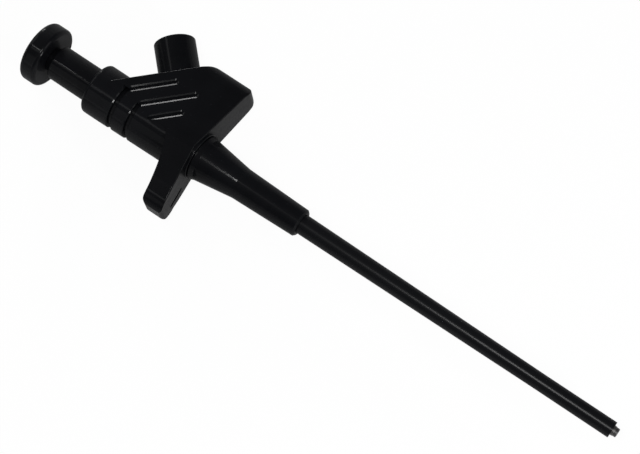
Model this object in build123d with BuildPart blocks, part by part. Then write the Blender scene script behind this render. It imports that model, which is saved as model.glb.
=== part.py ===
from build123d import *
import os
from math import cos, radians, sin, sqrt, tan

# Clamp-type test probe: thumb button, finger grip with a 4 mm socket, flexible shaft and jaws.
# Millimetres. The plunger axis is the X axis, +X runs from the button to the jaws, +Y to the
# socket wing and +Z is the thickness of the grip. The origin is the mouth of the tip ferrule.

# Clearances
FIT = 0.02            # radial gap between pieces of one body
RUNNING = 0.05        # radial gap of the plunger in its guides
END_GAP = 0.02        # gap between faces that meet end to end
CUT_MARGIN = 1.0      # how far a cutting outline reaches past the material it cuts

# Lengths along the axis
FERRULE_PROUD = 0.6
SHAFT_FREE_LENGTH = 84.7
NOSE_SLEEVE_LENGTH = 17.5
NOSE_CONE_LENGTH = 10.1
NOSE_SHOULDER_LENGTH = 1.5
BODY_LENGTH = 31.1
STEM_FREE_LENGTH = 11.6
NECK_LENGTH = 1.4
DISC_THICKNESS = 1.5
CAP_THICKNESS = 3.0
STROKE = 8.0          # how far the button is pressed

# Jaws and their carrier
JAW_PIVOT_DEPTH = 9.0      # pivot behind the ferrule's mouth at rest
JAW_HEAD_LENGTH = 0.8
JAW_HEAD_R = 1.1
JAW_ARM_THICKNESS = 0.33
JAW_ARM_HALF_WIDTH = 0.4
JAW_EYE_R = 0.45
JAW_NOTCH_R = 0.22
JAW_TIP_FILLET = 0.25
JAW_PIN_R = 0.2
CARRIER_R = 0.93
CARRIER_CHEEK = 0.6        # carrier in front of the pivot
CARRIER_TAIL = 2.5         # carrier behind the pivot
CARRIER_CHAMFER = 0.1
CARRIER_SLOT_ROOM = 0.1    # behind the jaws' eyes
CRIMP_DEPTH = 1.2

# Shaft
FERRULE_OUTER_R = 1.2
FERRULE_BORE_R = 1.0
FERRULE_REAR_ROOM = 1.0    # ferrule behind the carrier at rest
FERRULE_MOUTH_FILLET = 0.12
SHAFT_ROOT_R = 2.45
SHAFT_TIP_R = 2.0
SHAFT_TAPER_LENGTH = 65.3
LINER_OUTER_R = 0.95
LINER_BORE_R = 0.6
CORE_WIRE_R = 0.4

# Cone and sleeve in front of the grip
NOSE_SHOULDER_R = 6.0
CONE_ROOT_R = 5.42
CONE_END_R = 3.95
NOSE_END_R = 3.5
NOSE_END_CHAMFER = 0.45
NOSE_SHOULDER_FILLET = 0.3
SPIGOT_R = 4.0
SPIGOT_LENGTH = 4.0
SPIGOT_FLANGE_R = 4.8
SPIGOT_FLANGE_LENGTH = 1.2
ANCHOR_R = 3.0
ANCHOR_LENGTH = 3.0
ANCHOR_OFFSET = 1.0        # rear end of the shaft tube behind the cone's front
ROD_GUIDE_BORE_R = 1.45

# Body
BODY_REAR_R = 6.45
BODY_FRONT_R = 6.1
BODY_REAR_FILLET = 0.9
BODY_FRONT_FILLET = 0.3
BODY_STRAIGHT_LENGTH = 4.0
RING_GROOVE_WIDTH = 1.1
RING_GROOVE_DEPTH = 0.9
RING_GROOVE_BEVEL = 0.3     # 45 degree bevel of each rim
RING_GROOVE_OFFSETS = (8.3, 13.1)     # groove centres in front of the body's rear face
RING_GROOVE_TOPS = (2.9, 1.1)         # height at which each groove turns into a slanted one

# Guide bush and plunger
GUIDE_BUSH_INSET = 0.8
GUIDE_BUSH_LENGTH = 5.0
GUIDE_BUSH_R = 5.6
GUIDE_BUSH_LEAD_IN = 0.4
STEM_R = 4.35
STEM_OPENING_GAP = 0.25    # around the stem where it enters the body
STEM_REAR_FILLET = 0.3
STEM_BORE_R = 3.3
STEM_END_WALL = 3.8
STEM_FLANGE_R = 4.95
STEM_FLANGE_LENGTH = 1.0
STROKE_RESERVE = 0.3
ROD_R = 1.2
ROD_HEAD_R = 2.2
ROD_HEAD_LENGTH = 4.0
ROD_END_OFFSET = 1.4       # front end of the rod in front of the body's front face, at rest
ROD_CRIMP_DEPTH = 4.0

# Contact bush, spring and strip
BULKHEAD = 1.0
CONTACT_FLANGE_R = 4.4
CONTACT_FLANGE_LENGTH = 1.0
CONTACT_BARREL_R = 2.4
CONTACT_BARREL_GAP = 0.3    # between the barrel's end and the cone's spigot
CONTACT_CLEARANCE = 0.03
SPRING_WIRE_R = 0.275
SPRING_MEAN_R = 2.85
SPRING_TURNS = 9
STRIP_THICKNESS = 0.4
STRIP_WIDTH = 2.4
STRIP_TAB_LENGTH = 4.0
STRIP_FOOT_LENGTH = 2.5
STRIP_ROOM = 0.3

# Thumb button
BUTTON_R = 7.7
CAP_CROWN = 0.5
CAP_RIM_FILLET = 1.2
DISC_FRONT_FILLET = 1.0
NECK_R = 3.1
BUTTON_BOSS_R = 6.6
BUTTON_BOSS_LENGTH = 1.6
SCREW_R = 1.0
SCREW_HEAD_R = 1.9
SCREW_HEAD_LENGTH = 1.3
SCREW_ENGAGEMENT = 2.6
SCREW_SLOT = 0.5

# Grip wings
WING_TOP = 19.85
WING_REAR_OFFSET = 1.85    # where the 45 degree rear edge would cross the axis, from the rear face
WING_CORNER_R = 4.5
WING_FRONT_CORNER_R = 1.8
GRIP_FRONT_OFFSET = 0.95   # grip's front face on the axis, behind the body's front face
GRIP_SWEEP = 7.5           # degrees
FINGER_END = 17.1
FINGER_ROOT_WIDTH = 8.2
FINGER_END_WIDTH = 5.65
FINGER_HOLLOW = 1.0
FINGER_REAR_CORNER_R = 1.3
FINGER_FRONT_CORNER_R = 0.8
GRIP_HALF_ROOT = 6.3
GRIP_FLAT_HALF = 0.8
GRIP_HALF_TOP = 4.9
GRIP_TOP_ROUND = 3.5
GRIP_TOP_ROUND_R = 4.0
FINGER_CREASE = 10.8
FINGER_HALF_CREASE = 5.15
FINGER_ROUND_START = 14.0
FINGER_HALF_ROUND = 4.4
FINGER_END_ROUND = 4.0
FINGER_ROUND_END = 17.4     # the round's outline ends just past the finger's flat end
FINGER_HALF_END = 1.37
GRIP_EDGE_FILLET = 0.3
FINGER_SLOT_LENGTH = 5.4
FINGER_SLOT_WIDTH = 1.0
FINGER_SLOT_DEPTH = 0.5
FINGER_SLOT_HEIGHT = 11.0
FINGER_SLOT_SIDE = 2.0
SLANT_WIDTH = 0.8
SLANT_DEPTH = 0.45
SLANT_BEVEL = 0.35         # width of each rim's bevel
SLANT_BEVEL_ANGLE = 25     # degrees from the wing's face
SLANTS = ((9.0, 2.9, 11.3), (13.1, 1.1, 13.7), (16.9, -0.75, 8.4))     # start x, y and length
PEG_R = 0.9
PEG_LENGTH = 2.0
PEG_INSET = 4.0            # pegs behind the grip's front face
PEG_HEIGHTS = (15.5, 8.5, -12.5)

# Socket on the wing, 45 degrees backwards and outwards
SOCKET_ROOT_OFFSET = 15.1  # where the socket's axis leaves the wing, in front of the rear face
SOCKET_PROUD = 9.3
SHROUD_R = 5.05
SHROUD_BORE_R = 4.1
SHROUD_SPIGOT_R = 4.6
SHROUD_SPIGOT_LENGTH = 3.0
SHROUD_MOUTH_FILLET = 0.4
SOCKET_DEPTH = 6.0         # floor of the shroud's hollow, below the wing's edge
INSULATOR_R = 3.1
INSULATOR_BASE_R = 4.5
INSULATOR_BASE_LENGTH = 1.2
INSULATOR_RECESS = 1.5     # end of the post below the shroud's mouth
CONTACT_R = 2.6
CONTACT_BORE_R = 2.0
CONTACT_RECESS = 0.4       # end of the contact below the end of the post
CONTACT_ENTRY_GAP = 0.1    # widening of the post's mouth around the bore
CONTACT_TAIL = 9.0         # end of the contact below the wing's edge
CONTACT_FLOOR = 1.2

# Stations along the axis, worked out from the lengths
shaft_end_x = -FERRULE_PROUD
nose_end_x = shaft_end_x - SHAFT_FREE_LENGTH
cone_front_x = nose_end_x - NOSE_SLEEVE_LENGTH
cone_rear_x = cone_front_x - NOSE_CONE_LENGTH
body_front_x = cone_rear_x - NOSE_SHOULDER_LENGTH
body_rear_x = body_front_x - BODY_LENGTH
stem_rear_x = body_rear_x - STEM_FREE_LENGTH
disc_front_x = stem_rear_x - NECK_LENGTH
disc_rear_x = disc_front_x - DISC_THICKNESS
cap_rear_x = disc_rear_x - CAP_THICKNESS
bush_rear_x = body_rear_x + GUIDE_BUSH_INSET
bush_front_x = bush_rear_x + GUIDE_BUSH_LENGTH
flange_rear_x = bush_front_x + END_GAP
flange_front_x = flange_rear_x + STEM_FLANGE_LENGTH
chamber_end_x = flange_front_x + STROKE + STROKE_RESERVE
seat_x = chamber_end_x + BULKHEAD
seat_front_x = seat_x + CONTACT_FLANGE_LENGTH
spigot_rear_x = body_front_x - SPIGOT_LENGTH
barrel_end_x = spigot_rear_x - CONTACT_BARREL_GAP
tube_rear_x = cone_front_x - ANCHOR_OFFSET
anchor_front_x = tube_rear_x + ANCHOR_LENGTH
stem_floor_x = stem_rear_x + STEM_END_WALL
rod_end_x = body_front_x + ROD_END_OFFSET
carrier_rear_x = -JAW_PIVOT_DEPTH - CARRIER_TAIL
ferrule_rear_x = carrier_rear_x - FERRULE_REAR_ROOM
carrier_front_x = -JAW_PIVOT_DEPTH + CARRIER_CHEEK

# The wing's rear edge runs at 45 degrees, and the socket stands square on it
wing_rear_x = body_rear_x + WING_REAR_OFFSET
socket_root_x = body_rear_x + SOCKET_ROOT_OFFSET
socket_root_y = socket_root_x - wing_rear_x
socket_plane = Plane(origin=(socket_root_x, socket_root_y, 0), x_dir=(0, 0, 1), z_dir=(-1, 1, 0))
grip_front_x = body_front_x - GRIP_FRONT_OFFSET
sweep_slope = tan(radians(GRIP_SWEEP))


def section(*points):
    """Closed flat outline through (x, radius) points, to be turned about the X axis."""
    with BuildSketch(Plane.XY) as outline:
        with BuildLine():
            Polyline(*points, close=True)
        make_face()
    return outline.sketch


def grip_front(y):
    """X of the swept front face of the grip at height y."""
    return grip_front_x + sweep_slope * abs(y)


os.makedirs("parts", exist_ok=True)


def write(name, built):
    """Labels a finished piece and writes it."""
    built.part.label = name
    export_step(built.part, f"parts/{name}.step")


# Grip plate: the outline of wing and finger, cut to its thickness profile
finger_root_x = grip_front_x - FINGER_ROOT_WIDTH
finger_tip_rear_x = grip_front(FINGER_END) - FINGER_END_WIDTH
with BuildPart() as grip_plate:
    with BuildSketch(Plane.XY):
        with BuildLine():
            Line((wing_rear_x, 0), (wing_rear_x + WING_TOP, WING_TOP))
            Line((wing_rear_x + WING_TOP, WING_TOP), (grip_front(WING_TOP), WING_TOP))
            Polyline((grip_front(WING_TOP), WING_TOP), (grip_front_x, 0),
                     (grip_front(FINGER_END), -FINGER_END), (finger_tip_rear_x, -FINGER_END))
            SagittaArc((finger_tip_rear_x, -FINGER_END), (finger_root_x, 0), -FINGER_HOLLOW)
            Line((finger_root_x, 0), (wing_rear_x, 0))
        make_face()
        fillet(vertices().group_by(Axis.Y)[-1].sort_by(Axis.X)[0], WING_CORNER_R)
        fillet(vertices().group_by(Axis.Y)[-1].sort_by(Axis.X)[-1], WING_FRONT_CORNER_R)
        fillet(vertices().group_by(Axis.Y)[0].sort_by(Axis.X)[0], FINGER_REAR_CORNER_R)
        fillet(vertices().group_by(Axis.Y)[0].sort_by(Axis.X)[-1], FINGER_FRONT_CORNER_R)
    extrude(amount=GRIP_HALF_ROOT + CUT_MARGIN, both=True)
    with BuildSketch(Plane.YZ.offset(body_rear_x)):
        with BuildLine():
            Polyline((-FINGER_ROUND_END - CUT_MARGIN, 0), (-FINGER_ROUND_END - CUT_MARGIN, FINGER_HALF_END),
                     (-FINGER_ROUND_END, FINGER_HALF_END))
            RadiusArc((-FINGER_ROUND_END, FINGER_HALF_END), (-FINGER_ROUND_START, FINGER_HALF_ROUND),
                      FINGER_END_ROUND)
            Polyline((-FINGER_ROUND_START, FINGER_HALF_ROUND), (-FINGER_CREASE, FINGER_HALF_CREASE),
                     (-GRIP_FLAT_HALF, GRIP_HALF_ROOT), (GRIP_FLAT_HALF, GRIP_HALF_ROOT),
                     (WING_TOP - GRIP_TOP_ROUND, GRIP_HALF_TOP))
            RadiusArc((WING_TOP - GRIP_TOP_ROUND, GRIP_HALF_TOP),
                      (WING_TOP, GRIP_HALF_TOP - GRIP_TOP_ROUND), GRIP_TOP_ROUND_R)
            Polyline((WING_TOP, GRIP_HALF_TOP - GRIP_TOP_ROUND),
                     (WING_TOP + CUT_MARGIN, GRIP_HALF_TOP - GRIP_TOP_ROUND), (WING_TOP + CUT_MARGIN, 0))
            mirror(about=Plane.XZ)
        make_face()
    extrude(amount=grip_front(WING_TOP) - body_rear_x + CUT_MARGIN, mode=Mode.INTERSECT)
    # Fine round on the long edges of the two front faces
    steepest = cos(radians(2 * GRIP_SWEEP))
    front_faces = grip_plate.faces().filter_by(lambda face: face.normal_at().X > steepest)
    long_edges = front_faces.edges().filter_by(GeomType.LINE)
    fillet(long_edges.filter_by(lambda edge: abs(edge.center().Z) > FINGER_HALF_END), GRIP_EDGE_FILLET)

# Body of revolution around the plunger axis
straight_end_x = body_rear_x + BODY_STRAIGHT_LENGTH
with BuildPart() as barrel:
    revolve(section((body_rear_x, 0), (body_rear_x, BODY_REAR_R), (straight_end_x, BODY_REAR_R),
                    (body_front_x, BODY_FRONT_R), (body_front_x, 0)), axis=Axis.X)
    fillet(barrel.edges().filter_by(GeomType.CIRCLE).sort_by(Axis.X)[0], BODY_REAR_FILLET)
    fillet(barrel.edges().filter_by(GeomType.CIRCLE).sort_by(Axis.X)[-1], BODY_FRONT_FILLET)

# Ring grooves with bevelled rims, open below the height where each turns into a slanted groove
flare = RING_GROOVE_BEVEL + CUT_MARGIN
with BuildPart() as ring_grooves:
    for offset_x, top in zip(RING_GROOVE_OFFSETS, RING_GROOVE_TOPS):
        rear_x = body_rear_x + offset_x - RING_GROOVE_WIDTH / 2
        front_x = rear_x + RING_GROOVE_WIDTH
        revolve(section((rear_x - flare, BODY_REAR_R + CUT_MARGIN), (rear_x, BODY_REAR_R - RING_GROOVE_BEVEL),
                        (rear_x, BODY_REAR_R - RING_GROOVE_DEPTH), (front_x, BODY_REAR_R - RING_GROOVE_DEPTH),
                        (front_x, BODY_REAR_R - RING_GROOVE_BEVEL),
                        (front_x + flare, BODY_REAR_R + CUT_MARGIN)), axis=Axis.X)
        with Locations((body_rear_x + offset_x, top, 0)):
            Box(RING_GROOVE_WIDTH + 2 * flare, 2 * BODY_REAR_R, 3 * BODY_REAR_R,
                align=(Align.CENTER, Align.MIN, Align.CENTER), mode=Mode.SUBTRACT)

# Slanted grooves on a face of the wing, parallel to its rear edge
face_slope = (GRIP_HALF_ROOT - GRIP_HALF_TOP) / (WING_TOP - GRIP_TOP_ROUND - GRIP_FLAT_HALF)
face_plane = Plane(origin=(0, 0, GRIP_HALF_ROOT + face_slope * GRIP_FLAT_HALF), x_dir=(1, 0, 0),
                   z_dir=(0, face_slope, 1))


def slanted_slots(plane, margin):
    """Outlines of the slanted grooves on a plane along the wing's face, widened by the margin."""
    with BuildSketch(plane) as outlines:
        for start_x, start_y, length in SLANTS:
            with Locations((body_rear_x + start_x + length / 2 * cos(radians(45)),
                            start_y + length / 2 * sin(radians(45)))):
                SlotOverall(length + 2 * margin, SLANT_WIDTH + 2 * margin, rotation=45)
    return outlines.sketch


with BuildPart() as slanted_grooves:
    extrude(slanted_slots(face_plane.offset(-SLANT_DEPTH), 0), amount=SLANT_DEPTH)
    extrude(slanted_slots(face_plane, SLANT_BEVEL), amount=CUT_MARGIN)
    extrude(slanted_slots(face_plane, SLANT_BEVEL), amount=-SLANT_BEVEL * tan(radians(SLANT_BEVEL_ANGLE)),
            taper=90 - SLANT_BEVEL_ANGLE)

# Route of the contact strip: flat on the end of the socket contact, then down and along the bush
inward = Vector(1, -1) / sqrt(2)
across = Vector(1, 1) / sqrt(2)
tab_middle = Vector(socket_root_x, socket_root_y) + inward * (CONTACT_TAIL + STRIP_THICKNESS / 2 + END_GAP)
tab_end = tab_middle + across * (STRIP_TAB_LENGTH / 2)
tab_bend = tab_middle - across * (STRIP_TAB_LENGTH / 2)
foot_y = CONTACT_BARREL_R + STRIP_THICKNESS / 2 + END_GAP
strip_route = ((tab_end.X, tab_end.Y), (tab_bend.X, tab_bend.Y), (tab_bend.X, foot_y),
               (tab_bend.X - STRIP_FOOT_LENGTH, foot_y))

finger_slot_plane = Plane(origin=(grip_front(FINGER_SLOT_HEIGHT), -FINGER_SLOT_HEIGHT, -FINGER_SLOT_SIDE),
                          x_dir=(0, 0, 1), z_dir=(1, sweep_slope, 0))
peg_places = [(grip_front(height) - PEG_INSET, height) for height in PEG_HEIGHTS]

# Body and grip in one, hollowed for what they hold, before they are split into two shells
with BuildPart() as housing:
    add(grip_plate.part)
    add(barrel.part)
    add(ring_grooves.part, mode=Mode.SUBTRACT)
    add(slanted_grooves.part, mode=Mode.SUBTRACT)
    add(slanted_grooves.part.mirror(Plane.XY), mode=Mode.SUBTRACT)
    # Stepped hollow on the plunger axis: bush seat, plunger chamber, contact bush, cone spigot
    revolve(section(
        (body_rear_x - CUT_MARGIN, 0), (body_rear_x - CUT_MARGIN, STEM_R + STEM_OPENING_GAP),
        (bush_rear_x - END_GAP, STEM_R + STEM_OPENING_GAP),
        (bush_rear_x - END_GAP, GUIDE_BUSH_R + FIT), (bush_front_x, GUIDE_BUSH_R + FIT),
        (bush_front_x, STEM_FLANGE_R + RUNNING), (chamber_end_x, STEM_FLANGE_R + RUNNING),
        (chamber_end_x, STEM_BORE_R), (seat_x - END_GAP, STEM_BORE_R),
        (seat_x - END_GAP, CONTACT_FLANGE_R + FIT), (seat_front_x + END_GAP, CONTACT_FLANGE_R + FIT),
        (seat_front_x + END_GAP, CONTACT_BARREL_R + FIT), (spigot_rear_x - END_GAP, CONTACT_BARREL_R + FIT),
        (spigot_rear_x - END_GAP, SPIGOT_FLANGE_R + FIT),
        (spigot_rear_x + SPIGOT_FLANGE_LENGTH + END_GAP, SPIGOT_FLANGE_R + FIT),
        (spigot_rear_x + SPIGOT_FLANGE_LENGTH + END_GAP, SPIGOT_R + FIT), (body_front_x, SPIGOT_R + FIT),
        (body_front_x, NOSE_SHOULDER_R + FIT), (cone_rear_x, NOSE_SHOULDER_R + FIT), (cone_rear_x, 0)),
        axis=Axis.X, mode=Mode.SUBTRACT)
    # Socket hollow, square to the wing's rear edge
    with BuildSketch(socket_plane.offset(-SOCKET_DEPTH)):
        Circle(SHROUD_BORE_R)
    extrude(amount=SOCKET_DEPTH + SOCKET_PROUD, mode=Mode.SUBTRACT)
    with BuildSketch(socket_plane.offset(-SHROUD_SPIGOT_LENGTH - END_GAP)):
        Circle(SHROUD_SPIGOT_R + FIT)
    extrude(amount=SHROUD_SPIGOT_LENGTH + SOCKET_PROUD, mode=Mode.SUBTRACT)
    with BuildSketch(socket_plane.offset(-SOCKET_DEPTH)):
        Circle(INSULATOR_BASE_R + FIT)
    extrude(amount=-INSULATOR_BASE_LENGTH - END_GAP, mode=Mode.SUBTRACT)
    with BuildSketch(socket_plane.offset(-SOCKET_DEPTH)):
        Circle(CONTACT_R + FIT)
    extrude(amount=-(CONTACT_TAIL - SOCKET_DEPTH) - END_GAP, mode=Mode.SUBTRACT)
    # Pocket of the contact strip
    with BuildSketch(Plane.XY):
        with BuildLine():
            Polyline(*strip_route)
        trace(line_width=STRIP_THICKNESS + 2 * STRIP_ROOM)
    extrude(amount=STRIP_WIDTH / 2 + STRIP_ROOM, both=True, mode=Mode.SUBTRACT)
    # Shallow slot in the front face of the finger
    with BuildSketch(finger_slot_plane):
        SlotOverall(FINGER_SLOT_LENGTH, FINGER_SLOT_WIDTH, rotation=90)
    extrude(amount=-FINGER_SLOT_DEPTH, mode=Mode.SUBTRACT)

with BuildPart() as shell_near:
    add(housing.part)
    split(bisect_by=Plane.XY, keep=Keep.TOP)
    with BuildSketch(Plane.XY):
        with Locations(*peg_places):
            Circle(PEG_R)
    extrude(amount=-PEG_LENGTH)
write("shell_near", shell_near)

with BuildPart() as shell_far:
    add(housing.part)
    split(bisect_by=Plane.XY.offset(-END_GAP), keep=Keep.BOTTOM)
    with BuildSketch(Plane.XY):
        with Locations(*peg_places):
            Circle(PEG_R + FIT)
    extrude(amount=-PEG_LENGTH - PEG_R, mode=Mode.SUBTRACT)
write("shell_far", shell_far)

with BuildPart() as guide_bush:
    revolve(section((bush_rear_x, STEM_R + RUNNING), (bush_rear_x, GUIDE_BUSH_R),
                    (bush_front_x - END_GAP, GUIDE_BUSH_R),
                    (bush_front_x - END_GAP, STEM_R + RUNNING)), axis=Axis.X)
    chamfer(guide_bush.edges().filter_by(GeomType.CIRCLE).sort_by(Axis.X).group_by(Axis.X)[0]
            .sort_by(SortBy.RADIUS)[0], GUIDE_BUSH_LEAD_IN)
write("guide_bush", guide_bush)

# Plunger: sleeve, rod, button, screw and cap
with BuildPart() as plunger_sleeve:
    revolve(section((stem_rear_x, SCREW_R + FIT), (stem_rear_x, STEM_R), (flange_rear_x, STEM_R),
                    (flange_rear_x, STEM_FLANGE_R), (flange_front_x, STEM_FLANGE_R),
                    (flange_front_x, STEM_BORE_R), (stem_floor_x, STEM_BORE_R),
                    (stem_floor_x, SCREW_R + FIT)), axis=Axis.X)
    rear_edges = plunger_sleeve.edges().filter_by(GeomType.CIRCLE).group_by(Axis.X)[0]
    fillet(rear_edges.sort_by(SortBy.RADIUS)[-1], STEM_REAR_FILLET)
write("plunger_sleeve", plunger_sleeve)

rod_rear_x = stem_floor_x + END_GAP
with BuildPart() as push_rod:
    revolve(section((rod_rear_x, SCREW_R + FIT), (rod_rear_x, ROD_HEAD_R),
                    (rod_rear_x + ROD_HEAD_LENGTH, ROD_HEAD_R), (rod_rear_x + ROD_HEAD_LENGTH, ROD_R),
                    (rod_end_x, ROD_R), (rod_end_x, CORE_WIRE_R + FIT),
                    (rod_end_x - ROD_CRIMP_DEPTH, CORE_WIRE_R + FIT), (rod_end_x - ROD_CRIMP_DEPTH, 0),
                    (rod_rear_x + SCREW_ENGAGEMENT + SCREW_R, 0),
                    (rod_rear_x + SCREW_ENGAGEMENT + SCREW_R, SCREW_R + FIT)), axis=Axis.X)
write("push_rod", push_rod)

boss_rear_x = disc_rear_x - BUTTON_BOSS_LENGTH
screw_seat_x = boss_rear_x + SCREW_HEAD_LENGTH + 2 * FIT
with BuildPart() as thumb_button:
    revolve(section((stem_rear_x - END_GAP, SCREW_R + FIT), (stem_rear_x - END_GAP, NECK_R),
                    (disc_front_x, NECK_R), (disc_front_x, BUTTON_R), (disc_rear_x, BUTTON_R),
                    (disc_rear_x, BUTTON_BOSS_R), (boss_rear_x, BUTTON_BOSS_R),
                    (boss_rear_x, SCREW_HEAD_R + FIT), (screw_seat_x, SCREW_HEAD_R + FIT),
                    (screw_seat_x, SCREW_R + FIT)), axis=Axis.X)
    front_rim = thumb_button.edges().filter_by(GeomType.CIRCLE).sort_by(SortBy.RADIUS)[-2:]
    fillet(front_rim.sort_by(Axis.X)[-1], DISC_FRONT_FILLET)
write("thumb_button", thumb_button)

with BuildPart() as button_screw:
    revolve(section((screw_seat_x - SCREW_HEAD_LENGTH, 0), (screw_seat_x - SCREW_HEAD_LENGTH, SCREW_HEAD_R),
                    (screw_seat_x - END_GAP, SCREW_HEAD_R), (screw_seat_x - END_GAP, SCREW_R),
                    (rod_rear_x + SCREW_ENGAGEMENT, SCREW_R), (rod_rear_x + SCREW_ENGAGEMENT, 0)),
            axis=Axis.X)
    with BuildSketch(Plane.YZ.offset(screw_seat_x - SCREW_HEAD_LENGTH)):
        Rectangle(3 * SCREW_HEAD_R, SCREW_SLOT)
    extrude(amount=SCREW_SLOT, mode=Mode.SUBTRACT)
write("button_screw", button_screw)

with BuildPart() as button_cap:
    with BuildSketch(Plane.XY):
        with BuildLine():
            Polyline((boss_rear_x - END_GAP, 0), (boss_rear_x - END_GAP, BUTTON_BOSS_R + FIT),
                     (disc_rear_x - END_GAP, BUTTON_BOSS_R + FIT), (disc_rear_x - END_GAP, BUTTON_R),
                     (cap_rear_x, BUTTON_R))
            crown = RadiusArc((cap_rear_x, BUTTON_R), (cap_rear_x - CAP_CROWN, 0),
                              -(BUTTON_R ** 2 + CAP_CROWN ** 2) / (2 * CAP_CROWN))
            Line((cap_rear_x - CAP_CROWN, 0), (boss_rear_x - END_GAP, 0))
        make_face()
        fillet(vertices().sort_by_distance((cap_rear_x, BUTTON_R))[0], CAP_RIM_FILLET)
    revolve(axis=Axis.X)
write("button_cap", button_cap)

# Electrical path: bush, strip, contact and the return spring on the bush
with BuildPart() as contact_bush:
    revolve(section((seat_x, ROD_R + CONTACT_CLEARANCE), (seat_x, CONTACT_FLANGE_R),
                    (seat_front_x, CONTACT_FLANGE_R), (seat_front_x, CONTACT_BARREL_R),
                    (barrel_end_x, CONTACT_BARREL_R), (barrel_end_x, ROD_R + CONTACT_CLEARANCE)),
            axis=Axis.X)
write("contact_bush", contact_bush)

with BuildPart() as contact_strip:
    with BuildSketch(Plane.XY):
        with BuildLine():
            Polyline(*strip_route)
        trace(line_width=STRIP_THICKNESS)
    extrude(amount=STRIP_WIDTH / 2, both=True)
write("contact_strip", contact_strip)

spring_start_x = stem_floor_x + SPRING_WIRE_R + END_GAP
spring_length = seat_x - SPRING_WIRE_R - END_GAP - spring_start_x
with BuildPart() as return_spring:
    with BuildLine():
        coil = Helix(spring_length / SPRING_TURNS, spring_length, SPRING_MEAN_R,
                     center=(spring_start_x, 0, 0), direction=(1, 0, 0))
    with BuildSketch(Plane(origin=coil @ 0, z_dir=coil % 0)):
        Circle(SPRING_WIRE_R)
    sweep(is_frenet=True)
write("return_spring", return_spring)

# Socket on the wing
post_end = SOCKET_PROUD - INSULATOR_RECESS
contact_end = post_end - CONTACT_RECESS
with BuildPart() as socket_shroud:
    with BuildSketch(socket_plane.offset(END_GAP)):
        Circle(SHROUD_R)
    extrude(amount=SOCKET_PROUD - END_GAP)
    fillet(socket_shroud.faces().sort_by(Axis((0, 0, 0), (-1, 1, 0)))[-1].edges(), SHROUD_MOUTH_FILLET)
    with BuildSketch(socket_plane.offset(-SHROUD_SPIGOT_LENGTH)):
        Circle(SHROUD_SPIGOT_R)
    extrude(amount=SHROUD_SPIGOT_LENGTH + SHROUD_R - SHROUD_BORE_R)
    with BuildSketch(socket_plane.offset(-SHROUD_SPIGOT_LENGTH)):
        Circle(SHROUD_BORE_R)
    extrude(amount=SHROUD_SPIGOT_LENGTH + SOCKET_PROUD, mode=Mode.SUBTRACT)
write("socket_shroud", socket_shroud)

with BuildPart() as socket_insulator:
    with BuildSketch(socket_plane.offset(-SOCKET_DEPTH)):
        Circle(INSULATOR_BASE_R)
    extrude(amount=-INSULATOR_BASE_LENGTH)
    with BuildSketch(socket_plane.offset(-SOCKET_DEPTH)):
        Circle(INSULATOR_R)
    extrude(amount=SOCKET_DEPTH + post_end)
    with BuildSketch(socket_plane.offset(-SOCKET_DEPTH - INSULATOR_BASE_LENGTH)):
        Circle(CONTACT_R + FIT)
    extrude(amount=SOCKET_DEPTH + INSULATOR_BASE_LENGTH + contact_end + FIT, mode=Mode.SUBTRACT)
    with BuildSketch(socket_plane):
        Circle(CONTACT_BORE_R + CONTACT_ENTRY_GAP)
    extrude(amount=SOCKET_PROUD, mode=Mode.SUBTRACT)
write("socket_insulator", socket_insulator)

with BuildPart() as socket_contact:
    with BuildSketch(socket_plane.offset(-CONTACT_TAIL)):
        Circle(CONTACT_R)
    extrude(amount=CONTACT_TAIL + contact_end)
    with BuildSketch(socket_plane.offset(CONTACT_FLOOR - CONTACT_TAIL)):
        Circle(CONTACT_BORE_R)
    extrude(amount=CONTACT_TAIL + SOCKET_PROUD, mode=Mode.SUBTRACT)
write("socket_contact", socket_contact)

# Cone, guide, anchor and shaft
with BuildPart() as nose_cone:
    revolve(section((spigot_rear_x, ANCHOR_R + FIT), (spigot_rear_x, SPIGOT_FLANGE_R),
                    (spigot_rear_x + SPIGOT_FLANGE_LENGTH, SPIGOT_FLANGE_R),
                    (spigot_rear_x + SPIGOT_FLANGE_LENGTH, SPIGOT_R), (body_front_x + END_GAP, SPIGOT_R),
                    (body_front_x + END_GAP, NOSE_SHOULDER_R), (cone_rear_x, CONE_ROOT_R),
                    (cone_front_x, CONE_END_R), (nose_end_x - NOSE_END_CHAMFER, NOSE_END_R),
                    (nose_end_x, NOSE_END_R - NOSE_END_CHAMFER), (nose_end_x, SHAFT_ROOT_R + FIT),
                    (anchor_front_x + END_GAP, SHAFT_ROOT_R + FIT),
                    (anchor_front_x + END_GAP, ANCHOR_R + FIT)),
            axis=Axis.X)
    outer_edges = nose_cone.edges().filter_by(GeomType.CIRCLE).filter_by(
        lambda edge: edge.radius > SPIGOT_FLANGE_R)
    fillet(outer_edges, NOSE_SHOULDER_FILLET)
write("nose_cone", nose_cone)

with BuildPart() as rod_guide:
    revolve(section((spigot_rear_x, ROD_GUIDE_BORE_R), (spigot_rear_x, ANCHOR_R),
                    (tube_rear_x - END_GAP, ANCHOR_R), (tube_rear_x - END_GAP, ROD_GUIDE_BORE_R)),
            axis=Axis.X)
write("rod_guide", rod_guide)

with BuildPart() as anchor_ring:
    revolve(section((tube_rear_x, SHAFT_ROOT_R + FIT), (tube_rear_x, ANCHOR_R),
                    (anchor_front_x, ANCHOR_R), (anchor_front_x, SHAFT_ROOT_R + FIT)), axis=Axis.X)
write("anchor_ring", anchor_ring)

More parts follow.
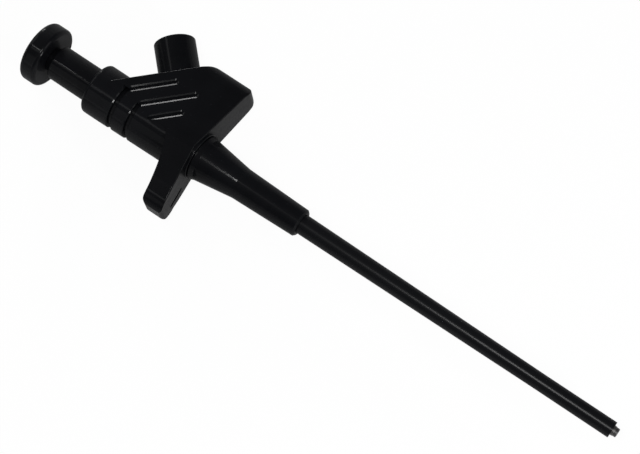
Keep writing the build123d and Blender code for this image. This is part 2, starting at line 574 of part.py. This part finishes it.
with BuildPart() as shaft_tube:
    revolve(section((tube_rear_x, LINER_OUTER_R + FIT), (tube_rear_x, SHAFT_ROOT_R),
                    (nose_end_x, SHAFT_ROOT_R), (nose_end_x + SHAFT_TAPER_LENGTH, SHAFT_TIP_R),
                    (shaft_end_x, SHAFT_TIP_R), (shaft_end_x, FERRULE_OUTER_R + FIT),
                    (ferrule_rear_x - END_GAP, FERRULE_OUTER_R + FIT),
                    (ferrule_rear_x - END_GAP, LINER_OUTER_R + FIT)), axis=Axis.X)
write("shaft_tube", shaft_tube)

with BuildPart() as shaft_liner:
    revolve(section((tube_rear_x, LINER_BORE_R), (tube_rear_x, LINER_OUTER_R),
                    (ferrule_rear_x - 2 * END_GAP, LINER_OUTER_R),
                    (ferrule_rear_x - 2 * END_GAP, LINER_BORE_R)), axis=Axis.X)
write("shaft_liner", shaft_liner)

with BuildPart() as core_wire:
    with BuildSketch(Plane.YZ.offset(rod_end_x - ROD_CRIMP_DEPTH + END_GAP)):
        Circle(CORE_WIRE_R)
    extrude(amount=carrier_rear_x + CRIMP_DEPTH - END_GAP - (rod_end_x - ROD_CRIMP_DEPTH + END_GAP))
write("core_wire", core_wire)

with BuildPart() as tip_ferrule:
    revolve(section((ferrule_rear_x, FERRULE_BORE_R), (ferrule_rear_x, FERRULE_OUTER_R),
                    (0, FERRULE_OUTER_R), (0, FERRULE_BORE_R)), axis=Axis.X)
    mouth_edges = tip_ferrule.edges().filter_by(GeomType.CIRCLE).group_by(Axis.X)[-1]
    fillet(mouth_edges.sort_by(SortBy.RADIUS)[-1], FERRULE_MOUTH_FILLET)
write("tip_ferrule", tip_ferrule)

# Jaws: a forked carrier on the wire, a pin, and two equal jaws turned half a turn to each other
eye_gap = JAW_ARM_HALF_WIDTH + FIT
with BuildPart() as jaw_carrier:
    with BuildSketch(Plane.YZ.offset(carrier_rear_x)):
        Circle(CARRIER_R)
    extrude(amount=carrier_front_x - carrier_rear_x)
    chamfer(jaw_carrier.edges().filter_by(GeomType.CIRCLE), CARRIER_CHAMFER)
    with BuildSketch(Plane.YZ.offset(-JAW_PIVOT_DEPTH - JAW_EYE_R - CARRIER_SLOT_ROOM)):
        Rectangle(3 * CARRIER_R, 2 * eye_gap)
    extrude(amount=CARRIER_TAIL, mode=Mode.SUBTRACT)
    with BuildSketch(Plane.YZ.offset(carrier_rear_x)):
        Circle(CORE_WIRE_R + FIT)
    extrude(amount=CRIMP_DEPTH, mode=Mode.SUBTRACT)
    with BuildSketch(Plane.XY.offset(-CARRIER_R)):
        with Locations((-JAW_PIVOT_DEPTH, 0)):
            Circle(JAW_PIN_R + FIT)
    extrude(amount=2 * CARRIER_R, mode=Mode.SUBTRACT)
write("jaw_carrier", jaw_carrier)

pin_half_length = sqrt(CARRIER_R ** 2 - JAW_PIN_R ** 2) - RUNNING
with BuildPart() as jaw_pin:
    with BuildSketch(Plane.XY.offset(-pin_half_length)):
        with Locations((-JAW_PIVOT_DEPTH, 0)):
            Circle(JAW_PIN_R)
    extrude(amount=2 * pin_half_length)
write("jaw_pin", jaw_pin)

jaw_gap = FIT / 2
with BuildPart() as jaw_upper:
    # Eye and root of the arm, on its own side of the pin's middle
    with BuildSketch(Plane.XY.offset(jaw_gap)):
        with Locations((-JAW_PIVOT_DEPTH, 0)):
            Circle(JAW_EYE_R)
        with Locations((-JAW_PIVOT_DEPTH, jaw_gap)):
            Rectangle(2 * JAW_EYE_R, JAW_ARM_THICKNESS, align=(Align.MIN, Align.MIN))
    extrude(amount=JAW_ARM_HALF_WIDTH - jaw_gap)
    # Arm, past the other jaw's eye
    arm_start_x = -JAW_PIVOT_DEPTH + JAW_EYE_R + RUNNING
    with BuildSketch(Plane.XY.offset(-JAW_ARM_HALF_WIDTH)):
        with Locations((arm_start_x, jaw_gap)):
            Rectangle(JAW_HEAD_LENGTH / 2 - arm_start_x, JAW_ARM_THICKNESS, align=(Align.MIN, Align.MIN))
    extrude(amount=2 * JAW_ARM_HALF_WIDTH)
    # Half-round head in front of the ferrule
    with BuildSketch(Plane.YZ.offset(END_GAP)):
        Circle(JAW_HEAD_R)
        with Locations((jaw_gap, 0)):
            Rectangle(2 * JAW_HEAD_R, 2 * JAW_HEAD_R, align=(Align.MAX, Align.CENTER), mode=Mode.SUBTRACT)
    extrude(amount=JAW_HEAD_LENGTH - END_GAP)
    tip_edges = jaw_upper.faces().sort_by(Axis.X)[-1].edges().filter_by(GeomType.CIRCLE)
    fillet(tip_edges, JAW_TIP_FILLET)
    with BuildSketch(Plane.XY.offset(-JAW_HEAD_R)):
        with Locations((JAW_HEAD_LENGTH / 2, 0)):
            Circle(JAW_NOTCH_R)
        with Locations((-JAW_PIVOT_DEPTH, 0)):
            Circle(JAW_PIN_R + FIT)
    extrude(amount=2 * JAW_HEAD_R, mode=Mode.SUBTRACT)
write("jaw_upper", jaw_upper)

with BuildPart() as jaw_lower:
    add(jaw_upper.part, rotation=(180, 0, 0))
write("jaw_lower", jaw_lower)
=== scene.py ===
from math import pi, radians

import bpy
import numpy as np
from bpy.props import FloatProperty, FloatVectorProperty, IntProperty, PointerProperty
from bpy.types import Operator, Panel, PropertyGroup
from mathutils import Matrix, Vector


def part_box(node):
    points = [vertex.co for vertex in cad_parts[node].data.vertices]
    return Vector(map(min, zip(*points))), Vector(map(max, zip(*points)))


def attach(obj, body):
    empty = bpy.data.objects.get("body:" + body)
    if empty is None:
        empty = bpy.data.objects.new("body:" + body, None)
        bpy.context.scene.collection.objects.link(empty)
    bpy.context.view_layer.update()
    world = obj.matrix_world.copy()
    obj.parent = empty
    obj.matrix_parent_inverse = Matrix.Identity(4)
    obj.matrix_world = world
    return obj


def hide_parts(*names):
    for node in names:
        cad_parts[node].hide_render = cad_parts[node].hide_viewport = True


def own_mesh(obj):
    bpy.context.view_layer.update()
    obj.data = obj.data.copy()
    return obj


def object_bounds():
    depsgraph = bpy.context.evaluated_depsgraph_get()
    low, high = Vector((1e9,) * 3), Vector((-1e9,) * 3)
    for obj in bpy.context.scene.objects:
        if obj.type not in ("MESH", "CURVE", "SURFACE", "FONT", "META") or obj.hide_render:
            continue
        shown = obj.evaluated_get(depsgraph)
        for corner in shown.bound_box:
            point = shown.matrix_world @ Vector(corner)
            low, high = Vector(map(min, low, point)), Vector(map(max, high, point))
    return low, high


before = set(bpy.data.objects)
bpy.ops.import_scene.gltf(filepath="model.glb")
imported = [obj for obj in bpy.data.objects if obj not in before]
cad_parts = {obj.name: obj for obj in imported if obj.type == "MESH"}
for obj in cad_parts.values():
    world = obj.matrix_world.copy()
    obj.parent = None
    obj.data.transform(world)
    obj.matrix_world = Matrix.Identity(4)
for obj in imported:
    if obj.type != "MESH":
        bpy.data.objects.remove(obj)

bl_info = {
    "name": "Clamp test probe",
    "version": (1, 0, 0),
    "blender": (4, 5, 0),
    "location": "View3D > Sidebar > Probe",
    "description": "Finishes and stage of a plunger-operated clamp test probe",
    "category": "Object",
}

CAD_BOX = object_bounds()
FLOOR_HEIGHT = CAD_BOX[0].z
WHITE = (1.0, 1.0, 1.0, 1.0)

# Steps of the meshes: round the floor, up its curve, along one turn of the spring, round its wire
RING_STEPS = 192
SWEEP_STEPS = 24
COIL_STEPS = 48
WIRE_STEPS = 14

# End turns of the spring: turns that lie closed at each end, part of a turn in which the wire
# then lifts off, and climb of a closed turn in wire radii
CLOSED_TURNS = 0.8
OPENING_TURNS = 0.5
CLOSED_CLIMB = 2.1

# Black plastics: nearly all their shine comes from a coat, the polish
BLACK_SPECULAR = 0.025
POLISH_IOR = 2.0
MOULD_POLISH_ROUGHNESS = 0.08
SHAFT_POLISH_ROUGHNESS = 0.22

# Share of each finer layer in a noise pattern
NOISE_ROUGHNESS = 0.55

# Relief of the other finishes in metres, and how much rougher the tool marks make a metal
CLOUD_DEPTH = 4e-6
TOOL_MARK_DEPTH = 1.5e-6
TOOL_MARK_ROUGHNESS = 0.18

# Floor: radius of its middle face in metres, and top of the backdrop in radii of its curve
MIDDLE_RADIUS = 0.05
WALL_TOP = 1.3

# Camera: width of its frame in millimetres, nearest and farthest distance it sees in metres
FRAME_WIDTH = 36.0
NEAREST = 0.01
FARTHEST = 20.0

# Soft lamps: name, place, point that it is aimed at, two side lengths and level
LAMPS = (
    # Narrow lamps over the axis draw the thin lights along shaft, cone and stem
    ("tip_lamp", (-0.039, -0.10, 0.47), (-0.039, 0.0, 0.0), (0.062, 0.13), 31.0),
    ("cone_lamp", (-0.10, -0.10, 0.47), (-0.10, 0.0, 0.0), (0.05, 0.06), 0.9),
    ("cone_end_lamp", (-0.089, -0.10, 0.465), (-0.089, 0.0, 0.0), (0.006, 0.10), 117.0),
    ("front_lamp", (-0.14, -0.10, 0.48), (-0.14, 0.0, 0.0), (0.38, 0.06), 0.54),
    ("stem_lamp", (-0.346, -0.095, 0.46), (-0.155, 0.0, 0.0), (0.012, 0.035), 26.5),
    # Two dim panels give collar and stem their broad sheen
    ("collar_panel", (-0.279, -0.11, 0.46), (-0.127, 0.0, 0.0), (0.045, 0.20), 1.7),
    ("stem_panel", (-0.274, -0.30, 0.19), (-0.14, 0.0, 0.0), (0.10, 0.32), 0.66),
    # Two low lamps catch the bevelled rims of the slanted grooves and of the ring grooves
    ("slant_lamp", (-0.51, 0.386, 0.14), (-0.128, 0.006, 0.0), (0.12, 0.08), 42.0),
    ("ring_lamp", (0.33, -0.09, 0.18), (-0.128, 0.0, 0.006), (0.07, 0.07), 60.0),
    # Broad lamps at the two ends, out of the mirror directions of the round pieces
    ("end_lamp", (-0.70, 0.10, 0.40), (-0.08, 0.0, 0.0), (0.4, 0.4), 2.1),
    ("side_lamp", (0.55, 0.25, 0.45), (-0.08, 0.0, 0.0), (0.4, 0.4), 2.7),
)


# Shader maths

class Field:
    """A number that changes over a surface: one socket, with arithmetic that adds Math nodes."""

    def __init__(self, tree, socket):
        self.tree = tree
        self.socket = socket

    def reckon(self, operation, first, second):
        node = self.tree.add("ShaderNodeMath", {"operation": operation}, {0: first, 1: second})
        return Field(self.tree, node.outputs[0])

    def __add__(self, other):
        return self.reckon("ADD", self, other)

    __radd__ = __add__

    def __mul__(self, other):
        return self.reckon("MULTIPLY", self, other)

    __rmul__ = __mul__

    def __lt__(self, other):
        return self.reckon("LESS_THAN", self, other)

    def larger(self, other):
        return self.reckon("MAXIMUM", self, other)


class Finish:
    """A material under construction, read in metres from the piece's own coordinates."""

    def __init__(self, name):
        self.material = bpy.data.materials.new(name)
        self.material.use_nodes = True
        self.nodes = self.material.node_tree.nodes
        self.links = self.material.node_tree.links
        self.nodes.clear()
        self.place = self.add("ShaderNodeTexCoord", {}, {}).outputs["Object"]

    def add(self, kind, settings, sockets):
        """Adds one node. Settings come first, a ramp's two stops among them, then the values or
        links of its sockets."""
        node = self.nodes.new(kind)
        for name, value in settings.items():
            if name == "stops":
                for element, (position, level) in zip(node.color_ramp.elements, value):
                    element.position = position
                    element.color = (level, level, level, 1.0)
            else:
                setattr(node, name, value)
        for key, value in sockets.items():
            if isinstance(value, Field):
                value = value.socket
            if isinstance(value, bpy.types.NodeSocket):
                self.links.new(value, node.inputs[key])
            else:
                node.inputs[key].default_value = value
        return node

    def stretched(self, per_metre):
        """Object coordinates counted in pattern steps, so many a metre along each axis."""
        node = self.add("ShaderNodeVectorMath", {"operation": "MULTIPLY"},
                        {0: self.place, 1: per_metre})
        return node.outputs[0]

    def noise(self, per_metre, detail):
        """Soft noise between 0 and 1 with so many patches a metre along x, y and z."""
        node = self.add("ShaderNodeTexNoise", {}, {
            "Vector": self.stretched(per_metre), "Scale": 1.0, "Detail": detail,
            "Roughness": NOISE_ROUGHNESS})
        return Field(self, node.outputs["Fac"])

    def specks(self, per_metre, size):
        """Small round marks, one in each cell of a Voronoi pattern: 1 in a mark and 0 outside."""
        node = self.add("ShaderNodeTexVoronoi", {}, {
            "Vector": self.stretched(per_metre), "Scale": 1.0, "Randomness": 1.0})
        return Field(self, node.outputs["Distance"]) < size

    def ramp(self, field, first, second):
        """The field passed through two grey stops, each a position and a level."""
        node = self.add("ShaderNodeValToRGB", {"stops": (first, second)}, {"Fac": field})
        return Field(self, node.outputs["Color"])

    def blend(self, factor, first, second):
        """A colour between two colours."""
        node = self.add("ShaderNodeMix", {"data_type": "RGBA"},
                        {"Factor": factor, 6: first, 7: second})
        return node.outputs[2]

    def bump(self, height, depth):
        """A normal tipped by a height field whose full step is so many metres deep."""
        node = self.add("ShaderNodeBump", {},
                        {"Height": height, "Distance": depth, "Strength": 1.0})
        return node.outputs["Normal"]

    def close(self, shader):
        """Ends the material with a shader node."""
        self.add("ShaderNodeOutputMaterial", {}, {"Surface": shader.outputs[0]})
        return self.material

    def surface(self, sockets):
        """Ends the material with a Principled shader."""
        return self.close(self.add("ShaderNodeBsdfPrincipled", {}, sockets))


def rgba(colour, factor=1.0):
    """A colour with its alpha, darker or lighter by a factor."""
    return tuple(channel * factor for channel in colour) + (1.0,)


def clothe(material, *nodes):
    """Gives CAD nodes one finish."""
    for name in nodes:
        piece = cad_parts[name]
        piece.data.materials.clear()
        piece.data.materials.append(material)


# Meshes

def new_piece(name, points, faces):
    """Smooth mesh object with its place in its mesh."""
    mesh = bpy.data.meshes.new(name)
    mesh.from_pydata(points.reshape(-1, 3).tolist(), [], faces)
    mesh.polygons.foreach_set("use_smooth", np.ones(len(mesh.polygons), dtype=bool))
    mesh.update()
    piece = bpy.data.objects.new(name, mesh)
    bpy.context.scene.collection.objects.link(piece)
    return piece


def joined_rings(rings, steps):
    """Quads between neighbouring rings of so many points each. The quad at point s of ring k
    goes from there to s + 1, then to s + 1 and s of ring k + 1, and the last one closes the
    ring."""
    ring = np.arange(rings - 1)[:, None] * steps
    step = np.arange(steps)
    following = (step + 1) % steps
    corners = [ring + step, ring + following, ring + steps + following, ring + steps + step]
    return np.stack(corners, axis=-1).reshape(-1, 4)


def coil_surface(name, start, end, mean_radius, wire_radius, turns):
    """Wire of a compression spring about X. At angle a its middle line is
    (x, R cos a, R sin a), where x climbs by little more than the wire's thickness in the first
    and last turn and evenly between them. At angle b round that line the surface is the line's
    point + r (cos b * outward + sin b * along), two unit vectors square to the line. The two
    ends are closed by flat faces."""
    turn = np.linspace(0.0, turns, COIL_STEPS * turns + 1)
    angle = 2 * pi * turn
    # How far the coils stand open: 0 in the closed end turns, 1 between them, smooth from 0 to 1
    lift = (np.minimum(turn, turns - turn) - CLOSED_TURNS) / OPENING_TURNS
    rise = np.clip(lift, 0.0, 1.0)
    openness = rise * rise * (3 - 2 * rise)
    opened = np.concatenate([[0.0], np.cumsum(openness[1:] + openness[:-1])])
    closed_pitch = CLOSED_CLIMB * wire_radius
    spare = end - start - closed_pitch * turns
    x = start + closed_pitch * turn + spare * opened / opened[-1]
    line = np.stack([x, mean_radius * np.cos(angle), mean_radius * np.sin(angle)], axis=-1)
    outward = np.stack([0 * angle, np.cos(angle), np.sin(angle)], axis=-1)
    along = np.cross(np.gradient(line, axis=0), outward)
    along /= np.linalg.norm(along, axis=-1, keepdims=True)
    around = np.linspace(0.0, 2 * pi, WIRE_STEPS, endpoint=False)[:, None]
    across = np.cos(around) * outward[:, None] + np.sin(around) * along[:, None]
    points = line[:, None] + wire_radius * across
    first = np.arange(WIRE_STEPS)
    last = first + (len(turn) - 1) * WIRE_STEPS
    ends = [first[::-1].tolist(), last.tolist()]
    return new_piece(name, points, joined_rings(len(turn), WIRE_STEPS).tolist() + ends)


def turned_surface(name, radius, height):
    """Surface of revolution about Z: the point at angle a of ring k is (r cos a, r sin a, z)
    with r and z of ring k. The first ring is closed by one many-sided face, and the normals
    point to the axis and up."""
    angle = np.linspace(0.0, 2 * pi, RING_STEPS, endpoint=False)
    x = radius[:, None] * np.cos(angle)
    y = radius[:, None] * np.sin(angle)
    z = np.broadcast_to(height[:, None], x.shape)
    points = np.stack([x, y, z], axis=-1)
    quads = joined_rings(len(radius), RING_STEPS)[:, ::-1]
    return new_piece(name, points, [list(range(RING_STEPS))] + quads.tolist())


# Finishes

class ProbeFinishes(PropertyGroup):
    """Colours and shine of the probe's materials."""
    body_colour: FloatVectorProperty(
        name="Body colour", description="Moulded black plastic of grip, cone and button",
        subtype="COLOR", size=3, min=0.0, max=1.0, default=(0.0030, 0.0032, 0.0040))
    shaft_colour: FloatVectorProperty(
        name="Shaft colour", description="Extruded black plastic of the shaft",
        subtype="COLOR", size=3, min=0.0, max=1.0, default=(0.0045, 0.0047, 0.0055))
    bush_colour: FloatVectorProperty(
        name="Bush colour", description="Natural plastic of the guides inside",
        subtype="COLOR", size=3, min=0.0, max=1.0, default=(0.72, 0.70, 0.64))
    brass_colour: FloatVectorProperty(
        name="Brass colour", description="Turned brass of the contacts inside",
        subtype="COLOR", size=3, min=0.0, max=1.0, default=(0.78, 0.60, 0.30))
    nickel_colour: FloatVectorProperty(
        name="Nickel colour", description="Plating of the ferrule and the socket",
        subtype="COLOR", size=3, min=0.0, max=1.0, default=(0.112, 0.110, 0.107))
    jaw_colour: FloatVectorProperty(
        name="Jaw colour", description="Darkened steel of the jaws",
        subtype="COLOR", size=3, min=0.0, max=1.0, default=(0.100, 0.100, 0.100))
    steel_colour: FloatVectorProperty(
        name="Steel colour", description="Rod, wire, screw and spring inside",
        subtype="COLOR", size=3, min=0.0, max=1.0, default=(0.50, 0.50, 0.50))
    polish: FloatProperty(
        name="Polish", description="How strongly the black plastic mirrors its surroundings",
        subtype="FACTOR", min=0.0, max=1.0, default=0.05)
    mould_grain: FloatProperty(
        name="Mould grain", description="Depth of the black plastics' fine grain and lines",
        unit="LENGTH", min=0.0, default=1e-6, precision=7)


def moulded_black(name, marks_per_metre):
    """Glossy black moulding: faint clouds and dust in the colour, smears in the polish and a
    fine grain. Marks run along the axis with the fewest steps a metre."""
    looks = bpy.context.scene.probe_finishes
    darker, lighter, dusty = (rgba(looks.body_colour, factor) for factor in (0.8, 1.25, 12.0))
    finish = Finish(name)
    clouds = finish.noise(per_metre=(70.0, 70.0, 70.0), detail=3.0)
    marks = finish.noise(marks_per_metre, detail=4.0)
    grain = finish.noise(per_metre=(5200.0, 5200.0, 5200.0), detail=1.0)
    dust = finish.specks(per_metre=(620.0, 620.0, 620.0), size=0.045)
    colour = finish.blend(finish.ramp(clouds, (0.3, 0.0), (0.7, 1.0)), darker, lighter)
    smears = finish.ramp(marks, (0.35, 0.75), (0.65, 1.0))
    return finish.surface({
        "Base Color": finish.blend(dust * clouds, colour, dusty),
        "Roughness": 0.32 + 0.22 * marks,
        "Specular IOR Level": BLACK_SPECULAR,
        "Coat Weight": smears * looks.polish,
        "Coat Roughness": MOULD_POLISH_ROUGHNESS,
        "Coat IOR": POLISH_IOR,
        "Normal": finish.bump(grain + 0.6 * marks, looks.mould_grain)})


def extruded_black():
    """Glossy black tube: draw lines along the shaft in roughness and height, and faint clouds
    in colour and polish."""
    looks = bpy.context.scene.probe_finishes
    darker, lighter = (rgba(looks.shaft_colour, factor) for factor in (0.8, 1.3))
    finish = Finish("shaft_black")
    lines = finish.noise(per_metre=(22.0, 2600.0, 2600.0), detail=3.0)
    clouds = finish.noise(per_metre=(60.0, 150.0, 150.0), detail=2.0)
    return finish.surface({
        "Base Color": finish.blend(clouds, darker, lighter),
        "Roughness": 0.3 + 0.2 * lines,
        "Specular IOR Level": BLACK_SPECULAR,
        "Coat Weight": (0.75 + 0.5 * clouds) * looks.polish,
        "Coat Roughness": SHAFT_POLISH_ROUGHNESS,
        "Coat IOR": POLISH_IOR,
        "Normal": finish.bump(lines, looks.mould_grain)})


def natural_plastic():
    """Low-friction natural plastic: cloudy and half matt."""
    looks = bpy.context.scene.probe_finishes
    darker, lighter = (rgba(looks.bush_colour, factor) for factor in (0.86, 1.0))
    finish = Finish("natural_plastic")
    clouds = finish.noise(per_metre=(240.0, 240.0, 240.0), detail=3.0)
    return finish.surface({
        "Base Color": finish.blend(clouds, darker, lighter),
        "Roughness": 0.42 + 0.2 * clouds,
        "Normal": finish.bump(clouds, CLOUD_DEPTH)})


def bright_metal(name, colour, marks_per_metre, roughness):
    """Worked metal: fine tool marks that run across the axis with the most steps a metre, and a
    patchy tarnish."""
    clean, tarnished = (rgba(colour, factor) for factor in (1.0, 0.72))
    finish = Finish(name)
    marks = finish.noise(marks_per_metre, detail=3.0)
    tarnish = finish.noise(per_metre=(900.0, 900.0, 900.0), detail=3.0)
    patches = finish.ramp(tarnish, (0.35, 0.0), (0.75, 1.0))
    return finish.surface({
        "Base Color": finish.blend(patches, clean, tarnished),
        "Metallic": 1.0,
        "Roughness": roughness + TOOL_MARK_ROUGHNESS * marks,
        "Normal": finish.bump(marks, TOOL_MARK_DEPTH)})


class PROBE_OT_moulded_plastic(Operator):
    """Finish of the moulded black pieces: shells, socket, cone, button and stem"""
    bl_idname = "probe.moulded_plastic"
    bl_label = "Moulded plastic"

    def execute(self, context):
        clothe(moulded_black("grip_black", marks_per_metre=(160.0, 160.0, 420.0)),
               "shell_near", "shell_far")
        clothe(moulded_black("turned_black", marks_per_metre=(900.0, 130.0, 130.0)),
               "nose_cone", "plunger_sleeve", "thumb_button", "button_cap")
        clothe(moulded_black("socket_black", marks_per_metre=(380.0, 380.0, 200.0)),
               "socket_shroud", "socket_insulator")
        return {"FINISHED"}


class PROBE_OT_shaft(Operator):
    """Finish of the long insulated shaft, and of the natural plastic liner and guides inside"""
    bl_idname = "probe.shaft"
    bl_label = "Shaft"

    def execute(self, context):
        clothe(extruded_black(), "shaft_tube")
        clothe(natural_plastic(), "shaft_liner", "guide_bush", "rod_guide")
        return {"FINISHED"}


class PROBE_OT_metal(Operator):
    """Finish of the metal pieces: jaws, ferrule, contacts, rod, wire and screw"""
    bl_idname = "probe.metal"
    bl_label = "Metal"

    def execute(self, context):
        looks = context.scene.probe_finishes
        clothe(bright_metal("jaw_steel", looks.jaw_colour,
                            marks_per_metre=(900.0, 5200.0, 5200.0), roughness=0.42),
               "jaw_upper", "jaw_lower")
        clothe(bright_metal("drawn_steel", looks.steel_colour,
                            marks_per_metre=(200.0, 5200.0, 5200.0), roughness=0.22),
               "push_rod", "core_wire", "button_screw", "jaw_carrier", "jaw_pin")
        clothe(bright_metal("turned_nickel", looks.nickel_colour,
                            marks_per_metre=(9000.0, 400.0, 400.0), roughness=0.40),
               "tip_ferrule", "socket_contact")
        clothe(bright_metal("turned_brass", looks.brass_colour,
                            marks_per_metre=(7000.0, 300.0, 300.0), roughness=0.24),
               "contact_bush", "contact_strip", "anchor_ring")
        return {"FINISHED"}


# Return spring

class ProbeSpring(PropertyGroup):
    """Wire and turns of the return spring."""
    wire_radius: FloatProperty(
        name="Wire radius", description="Half the thickness of the wire",
        unit="LENGTH", min=1e-5, default=0.000275, precision=6)
    turns: IntProperty(
        name="Turns", description="All turns, the closed one at each end among them",
        min=4, default=10)


class PROBE_OT_return_spring(Operator):
    """Return spring with closed end turns, carried by the grip"""
    bl_idname = "probe.return_spring"
    bl_label = "Return spring"

    def execute(self, context):
        sizes = context.scene.probe_spring
        low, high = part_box("return_spring")
        wire = sizes.wire_radius
        spring = coil_surface("spring_wire", low.x + wire, high.x - wire,
                              mean_radius=high.y - wire, wire_radius=wire, turns=sizes.turns)
        spring.data.materials.append(
            bright_metal("spring_steel", context.scene.probe_finishes.steel_colour,
                         marks_per_metre=(600.0, 2600.0, 2600.0), roughness=0.22))
        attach(spring, "grip")
        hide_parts("return_spring")
        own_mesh(spring)
        return {"FINISHED"}


# Stage

class ProbeStage(PropertyGroup):
    """Floor, sky and camera."""
    floor_colour: FloatVectorProperty(
        name="Floor colour", description="Colour of the pale floor",
        subtype="COLOR", size=3, min=0.0, max=1.0, default=(0.88, 0.88, 0.88))
    floor_glow: FloatProperty(
        name="Floor glow", description="Share of plain white in the floor that the camera sees",
        subtype="FACTOR", min=0.0, max=1.0, default=0.95)
    mirror_glow: FloatProperty(
        name="Mirror glow", description="Share of plain white in the floor that gloss mirrors",
        subtype="FACTOR", min=0.0, max=1.0, default=0.41)
    floor_radius: FloatProperty(
        name="Floor radius", description="Flat part of the floor", unit="LENGTH", default=1.2)
    sweep_radius: FloatProperty(
        name="Sweep radius", description="Curve from the floor up to the backdrop",
        unit="LENGTH", default=0.3)
    sky_level: FloatProperty(
        name="Sky level", description="Light that comes from everywhere", min=0.0, default=0.11)
    camera_place: FloatVectorProperty(
        name="Camera", description="Where the camera stands",
        subtype="XYZ", size=3, unit="LENGTH", default=(0.01307, -0.09031, 0.41592))
    camera_turn: FloatVectorProperty(
        name="Camera turn", description="How the camera is turned",
        subtype="EULER", size=3, default=(radians(17.302), radians(3.264), radians(35.379)))
    camera_lens: FloatProperty(
        name="Lens", description="Focal length on a 36 mm frame, in millimetres",
        default=106.29)


def floor_finish(stage):
    """Pale diffuse floor. Camera, mirror and glass rays see it mixed with plain white."""
    finish = Finish("studio_floor")
    rays = finish.add("ShaderNodeLightPath", {}, {})
    seen, glossy, clear = (Field(finish, rays.outputs[name]) for name in
                           ("Is Camera Ray", "Is Glossy Ray", "Is Transmission Ray"))
    glow = (seen * stage.floor_glow).larger(glossy.larger(clear) * stage.mirror_glow)
    matt = finish.add("ShaderNodeBsdfDiffuse", {}, {"Color": rgba(stage.floor_colour)})
    white = finish.add("ShaderNodeEmission", {}, {"Color": WHITE, "Strength": 1.0})
    return finish.close(finish.add("ShaderNodeMixShader", {},
                                   {0: glow, 1: matt.outputs[0], 2: white.outputs[0]}))


def lay_floor(stage):
    """Floor whose radius and height follow a quarter circle where it turns up: at angle a they
    are floor radius + sweep radius * sin a and sweep radius * (1 - cos a). It is flat inside
    that, down to its middle face, and ends as an upright wall."""
    turn = np.linspace(0.0, pi / 2, SWEEP_STEPS)
    radius = np.concatenate([[MIDDLE_RADIUS],
                             stage.floor_radius + stage.sweep_radius * np.sin(turn),
                             [stage.floor_radius + stage.sweep_radius]])
    height = FLOOR_HEIGHT + np.concatenate([[0.0], stage.sweep_radius * (1 - np.cos(turn)),
                                            [WALL_TOP * stage.sweep_radius]])
    floor = turned_surface("floor", radius, height)
    floor.data.materials.append(floor_finish(stage))


def hang_lamp(name, place, target, size, level):
    """Rectangular soft lamp of the given radiance, aimed at a point: its power is radiance times
    area times pi."""
    data = bpy.data.lights.new(name, "AREA")
    data.shape = "RECTANGLE"
    data.size, data.size_y = size
    data.energy = level * size[0] * size[1] * pi
    piece = bpy.data.objects.new(name, data)
    piece.location = place
    away = np.array(place) - np.array(target)
    piece.rotation_euler = Vector(away).to_track_quat("Z", "Y").to_euler()
    bpy.context.scene.collection.objects.link(piece)


def light_sky(stage):
    """Even dim light from all round."""
    world = bpy.data.worlds.new("studio")
    bpy.context.scene.world = world
    world.use_nodes = True
    background = world.node_tree.nodes["Background"]
    background.inputs["Color"].default_value = WHITE
    background.inputs["Strength"].default_value = stage.sky_level


def place_camera(stage):
    """Camera at the photograph's viewing angle."""
    data = bpy.data.cameras.new("camera")
    data.sensor_width = FRAME_WIDTH
    data.lens = stage.camera_lens
    data.clip_start = NEAREST
    data.clip_end = FARTHEST
    camera = bpy.data.objects.new("camera", data)
    camera.location = stage.camera_place
    camera.rotation_euler = stage.camera_turn
    bpy.context.scene.collection.objects.link(camera)
    bpy.context.scene.camera = camera


class PROBE_OT_stage(Operator):
    """Pale floor with a curved backdrop all round, soft lamps, dim sky and camera"""
    bl_idname = "probe.stage"
    bl_label = "Stage"

    def execute(self, context):
        stage = context.scene.probe_stage
        lay_floor(stage)
        for lamp in LAMPS:
            hang_lamp(*lamp)
        light_sky(stage)
        place_camera(stage)
        context.scene.view_settings.view_transform = "Standard"
        return {"FINISHED"}


# Add-on

class PROBE_PT_panel(Panel):
    """Lists the settings of finishes, spring and stage, and the operators that make them"""
    bl_label = "Clamp test probe"
    bl_idname = "PROBE_PT_panel"
    bl_space_type = "VIEW_3D"
    bl_region_type = "UI"
    bl_category = "Probe"

    def draw(self, context):
        scene = context.scene
        for settings in (scene.probe_finishes, scene.probe_spring, scene.probe_stage):
            box = self.layout.box()
            for name in settings.bl_rna.properties.keys():
                if name not in ("rna_type", "name"):
                    box.prop(settings, name)
        for operator in OPERATORS:
            self.layout.operator(operator.bl_idname)


OPERATORS = (PROBE_OT_moulded_plastic, PROBE_OT_shaft, PROBE_OT_metal, PROBE_OT_return_spring,
             PROBE_OT_stage)
CLASSES = (ProbeFinishes, ProbeSpring, ProbeStage) + OPERATORS + (PROBE_PT_panel,)


def register():
    for item in CLASSES:
        bpy.utils.register_class(item)
    bpy.types.Scene.probe_finishes = PointerProperty(type=ProbeFinishes)
    bpy.types.Scene.probe_spring = PointerProperty(type=ProbeSpring)
    bpy.types.Scene.probe_stage = PointerProperty(type=ProbeStage)


def unregister():
    del bpy.types.Scene.probe_stage
    del bpy.types.Scene.probe_spring
    del bpy.types.Scene.probe_finishes
    for item in reversed(CLASSES):
        bpy.utils.unregister_class(item)


def main():
    register()
    bpy.ops.probe.moulded_plastic()
    bpy.ops.probe.shaft()
    bpy.ops.probe.metal()
    bpy.ops.probe.return_spring()
    bpy.ops.probe.stage()


if __name__ == "__main__":
    main()
